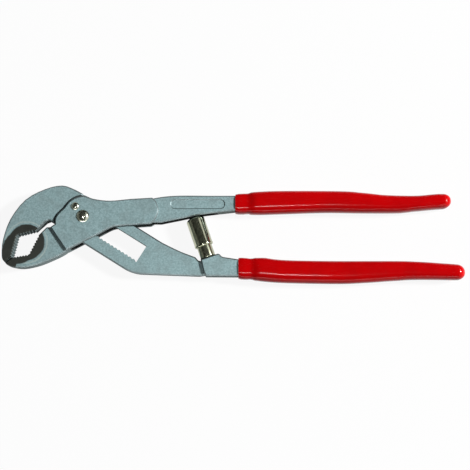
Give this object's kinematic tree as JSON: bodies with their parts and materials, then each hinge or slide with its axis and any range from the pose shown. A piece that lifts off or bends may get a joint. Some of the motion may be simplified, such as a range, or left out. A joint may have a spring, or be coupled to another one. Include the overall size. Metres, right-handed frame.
{
  "type": "adjustable pliers",
  "caption": "Self-adjusting water-pump pliers: toothed V jaws, box joint sliding along a rack slot, telescoping spring strut between the handles, dipped red grips.",
  "frame": {"origin": "the pivot rivet's axis where it meets the flat back of the box joint", "axes": "+X from the pivot along the handles, +Y towards the upper handle, +Z out of the front cheek"},
  "size_m": [0.2979, 0.0638, 0.016],
  "materials": {
    "forged_steel": "satin",
    "hardened_steel": "satin",
    "rivet_steel": "polished",
    "bright_tube": "polished",
    "spring_wire": "drawn wire",
    "red_vinyl": "gloss"
  },
  "bodies": {
    "pivot": {"pivot_rivet": "rivet_steel"},
    "upper_half": {"upper_lever": "forged_steel", "upper_grip": "red_vinyl", "guide_rivet": "rivet_steel", "guide_roller": "hardened_steel"},
    "ratchet": {"ratchet_block": "hardened_steel"},
    "lower_half": {"lower_lever": "forged_steel", "lower_grip": "red_vinyl", "spring_guide": "bright_tube", "return_spring": "spring_wire"},
    "cap": {"spring_cap": "bright_tube"}
  },
  "joints": [
    {"name": "jaw_slide", "type": "slide", "parent": "ratchet", "child": "lower_half", "axis": [-0.848, 0.5299, 0], "range_m": [0, 0.033], "stiffness_N_per_m": 100, "springref_m": -0.03},
    {"name": "handle_lift", "type": "hinge", "parent": "pivot", "child": "ratchet", "pos_m": [0, 0, 0], "axis": [0, 0, -1], "range_deg": [0, 18.5]},
    {"name": "handle_swing", "type": "hinge", "parent": "pivot", "child": "upper_half", "pos_m": [0, 0, 0], "axis": [0, 0, 1], "range_deg": [0, 16]},
    {"name": "cap_slide", "type": "slide", "parent": "lower_half", "child": "cap", "axis": [0.3256, -0.9455, 0], "range_m": [0, 0.0072], "deforming": ["return_spring"]}
  ],
  "couplings": [
    {"joint": "handle_lift", "follows": "jaw_slide", "rad_per_m": 9.784},
    {"joint": "cap_slide", "follows": "jaw_slide", "ratio": 0.218}
  ]
}
